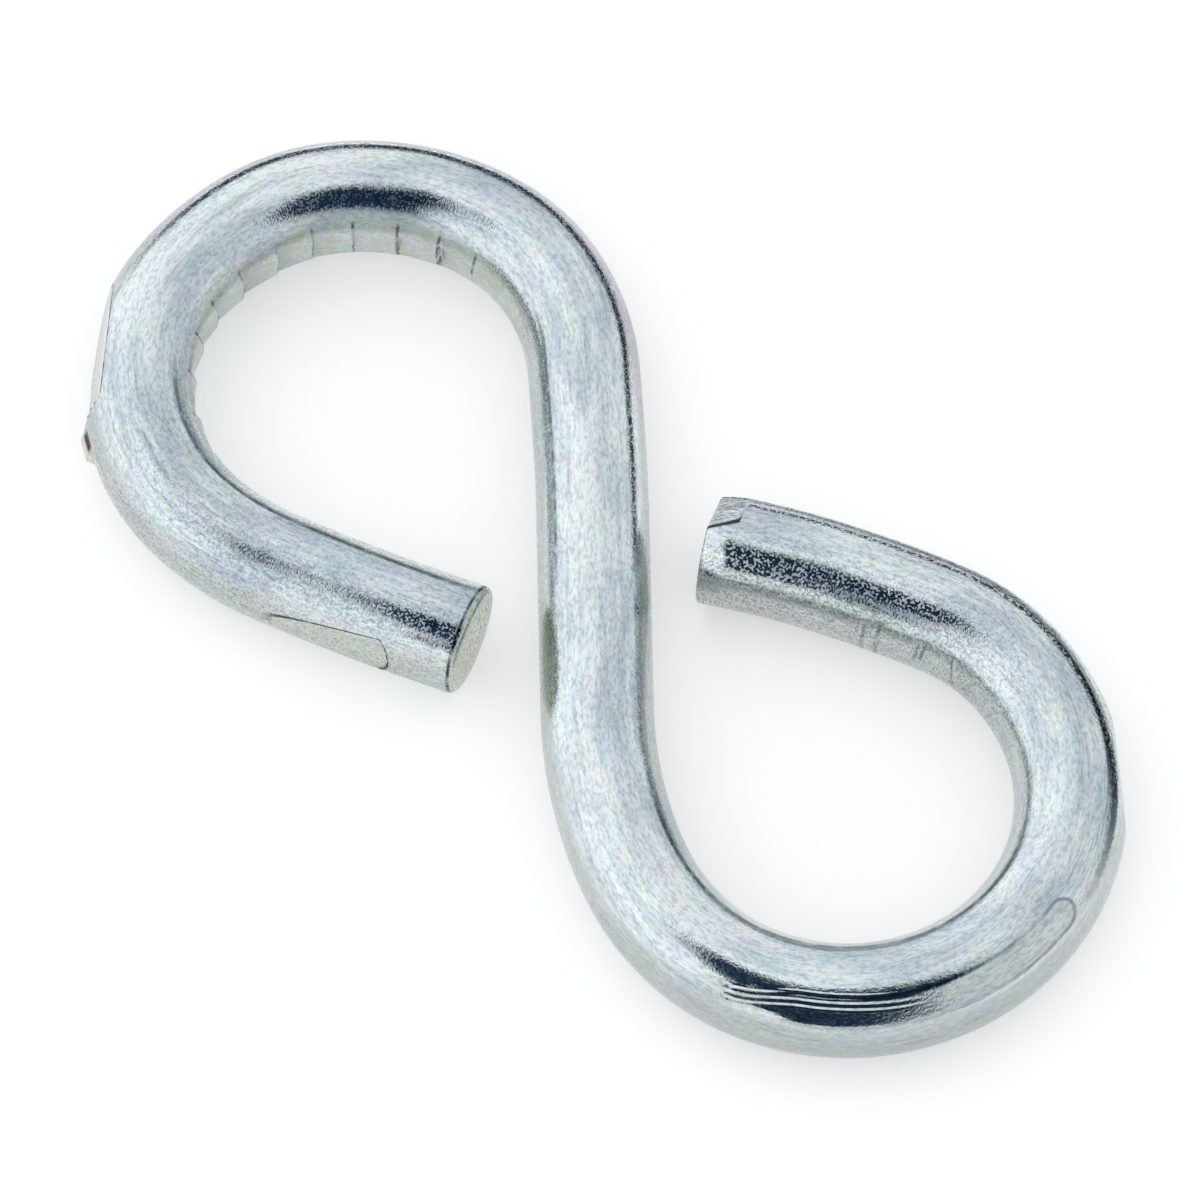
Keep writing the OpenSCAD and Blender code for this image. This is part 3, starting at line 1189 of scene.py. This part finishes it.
@dataclass(frozen=True)
class ZincPlate:
    """Bright zinc plate over drawn wire, dulled where tools touched it, with painted shade and painted dark
    reflections.
    """

    hook: Hook
    bright: Colour = (0.90, 0.96, 0.98, 1.0)
    dull: Colour = (0.56, 0.645, 0.71, 1.0)
    # Painted shade: darker colour for the steep flanks.
    flank: Colour = (0.49, 0.515, 0.50, 1.0)
    pressed: Colour = (0.60, 0.63, 0.56, 1.0)
    smooth: Colour = (0.62, 0.67, 0.68, 1.0)
    # Painted shade in a lilac tint on the lower outer flank of the upper eye.
    lilac_shade: Colour = (0.38, 0.35, 0.40, 1.0)
    scraped: Colour = (0.62, 0.66, 0.66, 1.0)
    # Painted shade and painted dark reflection: colour of the dark band on the lower arm, the softer shade
    # bands and the deep ends of the teeth.
    painted_shade: Colour = (0.17, 0.21, 0.24, 1.0)
    broken: Colour = (0.30, 0.32, 0.36, 1.0)
    bare: Colour = (0.80, 0.68, 0.62, 1.0)
    # Painted shade along the edges and in the grooves of the marks, and painted dark reflection lines.
    line: Colour = (0.05, 0.07, 0.08, 1.0)
    # Painted shadow in the crevice behind the burr's lip.
    crevice_shadow: Colour = (0.05, 0.03, 0.02, 1.0)
    cloud_share: float = 0.65
    bright_from: tuple[float, float] = (0.36, 0.62)
    flank_shade_share: float = 0.85
    pressed_share: float = 0.9
    scraped_share: float = 0.6
    bare_share: float = 0.7
    grain_tint: float = 0.36
    cloud_tint: float = 0.18
    roughness: float = 0.10
    tooth_roughness: float = 0.12
    grain_height: float = 0.008
    drawn_height: float = 0.002
    drag_height: float = 0.014
    clouds: Noise = Noise(0.14, 0.6, 3.0, 0.6)
    streaks: Noise = Noise(0.25, 3.5, 3.0, 0.6)
    pressed_patches: Noise = Noise(0.8, 0.8, levels=(0.42, 0.58))
    shade_patches: Noise = Noise(0.5, 3.0, 3.0, 0.7, (0.3, 0.6, 0.5, 1.0))
    broken_streaks: Noise = Noise(1.5, 6.0, levels=(0.38, 0.55, 0.9, 0.0))
    line_gaps: Noise = Noise(1.6, 1.6, levels=(0.30, 0.55, 0.4, 1.0))
    step_wear: Noise = Noise(2.2, 2.2, 1.0, levels=(0.42, 0.52, 0.25, 0.8))
    fine_colours: Noise = Noise(4.05, 9.0, 1.0)
    broad_colours: Noise = Noise(0.405, 0.9, 2.0, 0.6)
    pores: Noise = Noise(3.24, 7.2, 2.0, 0.6, (0.30, 0.60, 0.76, 1.06))
    scratches: Noise = Noise(0.3, 5.0, 2.0, 0.7, (0.30, 0.42, 0.82, 1.0))
    haze: Noise = Noise(2.0, 2.0, 3.0, 0.6, (0.3, 0.7, -0.03, 0.04))
    specks: Noise = Noise(9.0, 9.0, 0.0, levels=(0.50, 0.62, 0.0, 0.5))
    grain: Noise = Noise(9.0, 9.0, 2.0, 0.55)
    drawn: Noise = Noise(0.2, 6.0)
    # Outside of the upper eye, where the painted flank shade is halved.
    less_shade_outside: Band = Band((24.0, 46.0, 3.0), (2.865, 2.865), strength=0.5)
    # Painted shade, lilac, on the outer flank of the upper eye.
    lilac_flank_shade: Band = Band((23.0, 53.0, 4.0), (43.5, 2.5), strength=0.65)
    # Painted dark reflection band along the outer flank of the lower arm, broken up by noise.
    painted_dark_band: Band = Band((105.0, 126.0, 4.0), (-55.0, 3.0), (-41.0, 3.0))
    # Painted shade: darker on the lower eye's outer flank, on the inside of the lower eye, and along the
    # inner flank of the upper arm.
    painted_shade_bands: tuple[Band, ...] = (
        Band((81.0, 97.0, 5.0), high=(-57.5, 7.5), strength=0.25),
        Band((70.0, 100.0, 5.0), (42.0, 4.0), strength=0.3),
        Band((1.0, 21.0, 3.0), (-46.0, 10.0), (-33.5, 1.5), 0.38),
    )
    rough_rim: Band = Band((19.0, 42.0, 4.0), (-66.0, 6.0), (-42.0, 6.0), 0.35)
    # Gentle rises and falls of the plating, which bend what it mirrors.
    waves: tuple[Wave, ...] = (Wave(2.0, 10.5, -0.40), Wave(38.6, 43.0, 0.15), Wave(124.2, 126.2, -0.35))
    # Painted dark reflection lines along the flanks.
    painted_dark_lines: tuple[PaintedDarkLine, ...] = (
        PaintedDarkLine(0.45, 1.1, -19.0, -32.0),
        PaintedDarkLine(0.9, 10.0, -33.0, -36.0, 3.2),
        PaintedDarkLine(9.0, 21.0, -36.0, -38.0, 2.6),
        PaintedDarkLine(102.0, 113.0, -41.0, -46.0, 3.0),
        PaintedDarkLine(112.0, 124.0, -45.0, -48.0, 4.6),
        PaintedDarkLine(74.0, 100.0, 41.0, 41.0, 3.2),
        PaintedDarkLine(49.0, 62.0, -44.0, -42.0, 2.2),
    )

    def material(self) -> bpy.types.Material:
        """Builds the finish.

        Returns:
            The material.
        """
        material, nodes = new_material("zinc_plate")
        strip = nodes.attribute(Mark.STRIP, "Vector")
        s, side, up = nodes.split(strip)
        spot = Spot(s, nodes.math("ARCTAN2", side, up), nodes.attribute(Mark.TOOTH))
        height = self._height(strip, spot)
        bump = nodes.add("ShaderNodeBump", {}, {"Strength": 1.0, "Distance": MM, "Height": height})
        values = {
            "Base Color": self._colour(strip, spot),
            "Metallic": 1.0,
            "Roughness": self._roughness(strip, spot),
            "Normal": bump.outputs[0],
        }
        shader = nodes.add("ShaderNodeBsdfPrincipled", {}, values)
        nodes.add("ShaderNodeOutputMaterial", {}, {"Surface": shader.outputs[0]})
        return material

    def _colour(self, strip: Value, spot: Spot) -> Value:
        """Colour of the plate, from its broad clouds to its grain.

        Args:
            strip: Place on the wire that the noises follow.
            spot: Place on the wire.

        Returns:
            The colour.
        """
        mix, hook, radius = strip.nodes.mix, self.hook, self.hook.path.wire_radius
        cloudy = self.clouds.over(strip) * self.cloud_share
        cloudy = cloudy + self.streaks.over(strip) * (1 - self.cloud_share)
        colour = mix(cloudy.step(*self.bright_from), self.dull, self.bright)
        # Painted shade on the steep flanks.
        colour = mix(self._flank_shade(spot) * self.flank_shade_share, colour, self.flank)
        # Painted shade, lilac, on the outer flank of the upper eye.
        colour = mix(self.lilac_flank_shade.over(spot), colour, self.lilac_shade)
        # Painted shade and painted dark reflection.
        colour = mix(self._painted_shade_strength(strip, spot), colour, self.painted_shade)
        jaw = hook.teeth.jaw.over(spot)
        pressed = mix(self.pressed_patches.stepped(strip), self.pressed, self.smooth)
        colour = mix(jaw * self.pressed_share, colour, pressed)
        # Painted shade, darker towards the deep end of each tooth.
        colour = mix(jaw * spot.tooth.step(0.12, 0.55, 0.0, 0.35), colour, self.painted_shade)
        land = hook.land.border(radius, spot).negative(0.05)
        shaved = (radius - hook.shave.reach(radius, spot)).step(0.0, 0.05)
        colour = mix(land.most(shaved) * self.scraped_share, colour, self.scraped)
        chip = (hook.chip.reach(radius, spot) - radius).negative(0.02)
        colour = mix(chip * self.broken_streaks.stepped(strip), colour, self.broken)
        colour = mix(hook.burr.torn(spot) * self.bare_share, colour, self.bare)
        flat = hook.arm_flat.border(radius, spot).negative(0.05) * self.scraped_share
        face = spot.s.step(0.20, 0.26, 1.0, 0.0)
        colour = mix(flat.most(face), colour, self.pressed)
        # Painted shade along the edges and grooves, and painted dark reflection lines.
        colour = mix(self._painted_edge_shade(strip, spot), colour, self.line)
        # Painted shadow in the crevice behind the burr's lip.
        colour = mix(hook.burr.tear(spot), colour, self.crevice_shadow)
        return self._grained(strip, spot, colour)

    def _flank_shade(self, spot: Spot) -> Value:
        """1 where painted shade darkens the steep sides, and half as much on the outside of the upper eye."""
        return spot.steep(38.0, 72.0) * (1.0 - self.less_shade_outside.over(spot))

    def _painted_shade_strength(self, strip: Value, spot: Spot) -> Value:
        """Strength of the painted dark reflection band on the outer flank of the lower arm, and of the softer
        painted shade bands.

        Args:
            strip: Place on the wire that the noises follow.
            spot: Place on the wire.

        Returns:
            The strength.
        """
        painted_shade = self.painted_dark_band.over(spot) * self.shade_patches.stepped(strip)
        for band in self.painted_shade_bands:
            painted_shade = painted_shade.most(band.over(spot))
        return painted_shade

    def _painted_edge_shade(self, strip: Value, spot: Spot) -> Value:
        """Strength of the painted shade lines along the edges and in the grooves of the marks, and of the
        painted dark reflection lines.

        Args:
            strip: Place on the wire that the noises follow.
            spot: Place on the wire.

        Returns:
            The strength.
        """
        hook, radius = self.hook, self.hook.path.wire_radius
        steps = strip.nodes.attribute(Mark.STEP).step(0.03, 0.14, 1.0, 0.0)
        steps = steps * hook.teeth.jaw.over(spot) * self.step_wear.stepped(strip)
        flat = hook.arm_flat.border(radius, spot).line(0.03, 0.06) * spot.s.step(8.2, 9.2, 1.0, 0.0)
        outer = spot.off(hook.land.phi).negative(0.05)
        land = (hook.land.border(radius, spot) + outer * 0.02).line(0.03, 0.09)
        land = land * (1.0 - outer * spot.s.step(93.0, 97.0, 0.75, 0.2)) * spot.s.step(84.0, 86.5)
        shave = (hook.shave.reach(radius, spot) - radius).line(0.015, 0.04) * spot.s.within(19.3, 25.2, 0.2)
        fall = (spot.slanted(hook.burr.lean) - hook.burr.end).line(0.03, 0.07)
        fall = fall * spot.phi.within(math.radians(50), math.radians(112), 0.05)
        marks = (hook.cross_marks.groove(spot) * 9.0).least(0.5)
        chip = (hook.chip.reach(radius, spot) - radius).line(0.04, 0.10) * 1.6
        rim = (spot.s - spot.phi.cos() * 0.12 - 0.2).line(0.03, 0.07) * abs(spot.phi).step(1.7, 2.1, 1.0, 0.0)
        strongest = steps
        for line in (flat, land * 0.6, shave, fall, marks, chip, rim):
            strongest = strongest.most(line)
        for dark_line in self.painted_dark_lines:
            strongest = strongest.most(dark_line.strength(spot) * 0.7)
        return (strongest * self.line_gaps.stepped(strip)).least(1.0)

    def _grained(self, strip: Value, spot: Spot, colour: Value) -> Value:
        """Colour with the fine coloured grain and the faint coloured clouds of the plate.

        Args:
            strip: Place on the wire that the noises follow.
            spot: Place on the wire.
            colour: The colour without them.

        Returns:
            The colour.
        """
        nodes = strip.nodes
        for noise, share in ((self.fine_colours, self.grain_tint), (self.broad_colours, self.cloud_tint)):
            level = 1 - share / 2
            tint = noise.over(strip, out=1)
            tint = nodes.vector("MULTIPLY_ADD", tint, (share, share, share), (level, level, level))
            colour = nodes.vector("MULTIPLY", colour, tint)
        even = spot.steep(46.0, 60.0, 0.76, 0.94)
        dark = self.pores.stepped(strip).most(even) * self.scratches.stepped(strip)
        return nodes.vector("MULTIPLY", colour, nodes.join(dark, dark, dark))

    def _roughness(self, strip: Value, spot: Spot) -> Value:
        """Roughness, a little uneven and higher on the flanks and teeth.

        Args:
            strip: Place on the wire that the noises follow.
            spot: Place on the wire.

        Returns:
            The roughness.
        """
        flank = spot.steep(50.0, 80.0, 0.0, 0.10)
        lower = spot.s.step(76.0, 82.0, 0.35, 0.08) + spot.s.step(100.0, 112.0, 0.0, 0.92)
        specks = self.specks.stepped(strip) * spot.s.step(14.0, 28.0, 1.0, 0.0).most(lower)
        jaw = self.hook.teeth.jaw.over(spot) * self.tooth_roughness
        return self.haze.stepped(strip) + flank + specks + self.rough_rim.over(spot) + jaw + self.roughness

    def _height(self, strip: Value, spot: Spot) -> Value:
        """Height of the grain, the waves and the fine tool lines, in millimetres.

        Args:
            strip: Place on the wire that the noises follow.
            spot: Place on the wire.

        Returns:
            The height.
        """
        height = self.grain.over(strip) * self.grain_height + self.drawn.over(strip) * self.drawn_height
        for wave in self.waves:
            height = height + wave.height(spot)
        return height + self.hook.land.drag(spot) * self.drag_height


@dataclass(frozen=True)
class Card:
    """Card that only the plating mirrors. It never shows, shades or lights anything."""

    name: str
    colour: Colour

    def build(self, points: list, faces: list, places: list) -> Value:
        """Makes the card's mesh and its half-built material.

        Args:
            points: Corners in millimetres.
            faces: Corner numbers of each face.
            places: Place of each corner on the card.

        Returns:
            The place on the card, in the tree of its material.
        """
        mesh = bpy.data.meshes.new(self.name)
        mesh.from_pydata([tuple(Vector(p) * MM) for p in points], [], faces)
        uv = mesh.uv_layers.new(name="card")
        for loop in mesh.loops:
            uv.data[loop.index].uv = places[loop.vertex_index]
        card = put(self.name, mesh)
        material, nodes = new_material(self.name)
        mesh.materials.append(material)
        card.visible_camera = False
        card.visible_diffuse = False
        card.visible_shadow = False
        card.visible_transmission = False
        card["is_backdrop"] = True
        return Value(nodes, nodes.add("ShaderNodeUVMap", {"uv_map": "card"}).outputs[0])

    def close(self, clear: Value) -> None:
        """Ends the material, which can be seen through where clear is 1.

        Args:
            clear: How far the card can be seen through.
        """
        nodes = clear.nodes
        dark = nodes.add("ShaderNodeEmission", {}, {"Color": self.colour, "Strength": 1.0})
        open_air = nodes.add("ShaderNodeBsdfTransparent")
        mixed = nodes.add("ShaderNodeMixShader", {}, {0: clear, 1: dark.outputs[0], 2: open_air.outputs[0]})
        nodes.add("ShaderNodeOutputMaterial", {}, {"Surface": mixed.outputs[0]})


@dataclass(frozen=True)
class Oval:
    """Oval on a card, by its middle and half its width and height."""

    x: float
    y: float
    half_width: float
    half_height: float

    def reach(self, place: Value) -> Value:
        """Distance from the oval's middle, which is 1 on its rim.

        Args:
            place: Place on the card.

        Returns:
            The distance.
        """
        moved = place.nodes.vector("SUBTRACT", place, (self.x, self.y, 0.0))
        spread = place.nodes.vector("DIVIDE", moved, (self.half_width, self.half_height, 1.0))
        return place.nodes.vector("LENGTH", spread, out="Value")


@dataclass
class Studio:
    """Pale floor, even soft light, dark cards that the plating mirrors, and the camera."""

    view_azimuth: float = 44.06
    view_elevation: float = 61.80
    distance: float = 647.0
    lens: float = 441.0
    aim: tuple[float, float, float] = (0.24, -0.42, 2.65)
    floor_size: float = 3.0
    card_distance: float = 560.0
    card_half_angle: float = 48.0
    fence_size: tuple[float, float] = (42.0, 27.0)
    fence_height: float = 6.2
    lift: Colour = (0.34, 0.34, 0.34, 1.0)
    left_light: Colour = (0.97, 0.99, 1.0, 1.0)
    right_light: Colour = (0.75, 0.77, 0.78, 1.0)
    # Dark parts of the card above the lens, which run into each other.
    ovals: tuple[Oval, ...] = (
        Oval(0.0, 0.08, 0.50, 0.46),
        Oval(-0.39, 0.36, 0.21, 0.39),
        Oval(-0.20, -0.25, 0.42, 0.20),
    )
    oval_rounding: float = 0.15

    def view_axes(self) -> tuple[Vector, Vector, Vector]:
        """Directions to the camera, to the right of its frame and up its frame.

        Returns:
            The three directions, each of length 1.
        """
        a, e = math.radians(self.view_azimuth), math.radians(self.view_elevation)
        toward = Vector((math.sin(a) * math.cos(e), -math.cos(a) * math.cos(e), math.sin(e)))
        right = Vector((math.cos(a), math.sin(a), 0.0))
        return toward, right, toward.cross(right)

    def camera(self) -> None:
        """Camera at the photograph's angle."""
        toward = self.view_axes()[0]
        camera = put("camera", bpy.data.cameras.new("camera"))
        camera.data.lens = self.lens
        camera.data.sensor_width = 36.0
        camera.data.clip_start = 0.05
        camera.data.clip_end = 20.0
        camera.location = (Vector(self.aim) + toward * self.distance) * MM
        camera.rotation_mode = "QUATERNION"
        camera.rotation_quaternion = toward.to_track_quat("Z", "Y")
        bpy.context.scene.camera = camera

    def world(self) -> None:
        """Even light from all round, a little stronger from the left of the view."""
        world = bpy.data.worlds.new("soft_light")
        bpy.context.scene.world = world
        world.use_nodes = True
        nodes = Nodes(world.node_tree)
        direction = Value(nodes, nodes.add("ShaderNodeTexCoord").outputs["Generated"])
        sideways = nodes.vector("DOT_PRODUCT", direction, tuple(self.view_axes()[1]), out="Value")
        light = nodes.mix(sideways.step(-0.9, 0.5), self.left_light, self.right_light)
        shader = nodes.add("ShaderNodeBackground", {}, {"Color": light, "Strength": 1.0})
        nodes.add("ShaderNodeOutputWorld", {}, {"Surface": shader.outputs[0]})

    def floor(self) -> None:
        """Plain pale floor."""
        mesh = bpy.data.meshes.new("floor")
        half = self.floor_size / 2
        points = [(-half, -half, 0), (half, -half, 0), (half, half, 0), (-half, half, 0)]
        mesh.from_pydata(points, [], [(0, 1, 2, 3)])
        floor = put("floor", mesh)
        material, nodes = new_material("pale_floor")
        path = nodes.add("ShaderNodeLightPath")
        rays = ("Is Camera Ray", "Is Glossy Ray", "Is Transmission Ray")
        camera, glossy, through = [Value(nodes, path.outputs[ray]) for ray in rays]
        seen = (camera + glossy + through).least(1.0)
        lift = nodes.mix(seen, (0.0, 0.0, 0.0, 1.0), self.lift)
        values = {
            "Base Color": (0.9, 0.9, 0.9, 1.0),
            "Roughness": 0.9,
            "Specular IOR Level": 0.0,
            "Emission Color": lift,
            "Emission Strength": 1.0,
        }
        shader = nodes.add("ShaderNodeBsdfPrincipled", {}, values)
        nodes.add("ShaderNodeOutputMaterial", {}, {"Surface": shader.outputs[0]})
        mesh.materials.append(material)
        floor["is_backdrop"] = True

    def lens_card(self) -> None:
        """Dark card round the lens and above it to the left."""
        toward, right, up = self.view_axes()
        across, down = math.tan(math.radians(3.0)), math.tan(math.radians(-10.0))
        middle = (toward + right * across + up * down).normalized()
        side = up.cross(middle).normalized()
        top = middle.cross(side)
        half = self.card_distance * math.tan(math.radians(self.card_half_angle))
        corners = [(-1, -1), (1, -1), (1, 1), (-1, 1)]
        points = [middle * self.card_distance + side * (a * half) + top * (b * half) for a, b in corners]
        card = Card("lens_card", (0.005, 0.022, 0.050, 1.0))
        place = card.build(points, [(0, 1, 2, 3)], corners)
        near = self.ovals[0].reach(place)
        for oval in self.ovals[1:]:
            near = near.least(oval.reach(place), self.oval_rounding)
        card.close(near.step(0.90, 1.10))

    def fence(self) -> None:
        """Low dark strip round the far side, which draws the dark line along the wire's flanks."""
        first, last, count = 10.0, 200.0, 48
        points, places = [], []
        for n in range(count + 1):
            angle = math.radians(first + (last - first) * n / count)
            x, y = self.fence_size[0] * math.cos(angle), self.fence_size[1] * math.sin(angle)
            points += [(x, y, 0.05), (x, y, self.fence_height)]
            places += [(n / count, 0.0), (n / count, 1.0)]
        faces = [(2 * n, 2 * n + 2, 2 * n + 3, 2 * n + 1) for n in range(count)]
        card = Card("fence", (0.03, 0.045, 0.06, 1.0))
        place = card.build(points, faces, places)
        along, height, _ = place.nodes.split(place)
        dark = along.within(0.12, 0.90, 0.10) * height.step(0.7, 1.0, 1.0, 0.0)
        card.close(1.0 - dark)

    def build(self) -> None:
        """Sets up everything round the hook."""
        self.camera()
        self.world()
        self.floor()
        self.lens_card()
        self.fence()
        bpy.context.scene.view_settings.view_transform = "Standard"


def corners() -> list[list[float]]:
    """Lowest and highest corner of what shows, as plain lists."""
    return [list(corner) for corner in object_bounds()]


def main() -> None:
    """Builds the hook and the studio."""
    logging.basicConfig(level=logging.INFO, format="%(name)s: %(message)s")
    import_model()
    studio = Studio()
    studio.build()
    LOG.info("studio ready, camera %.0f mm away", studio.distance)
    hook = Hook()
    wire = hook.build(ZincPlate(hook).material())
    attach(wire, BODY)
    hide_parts(NODE)
    faces = len(wire.data.polygons)
    LOG.info("bent wire: %.1f mm long, %d faces", hook.path.length(), faces)


if __name__ == "__main__":
    main()
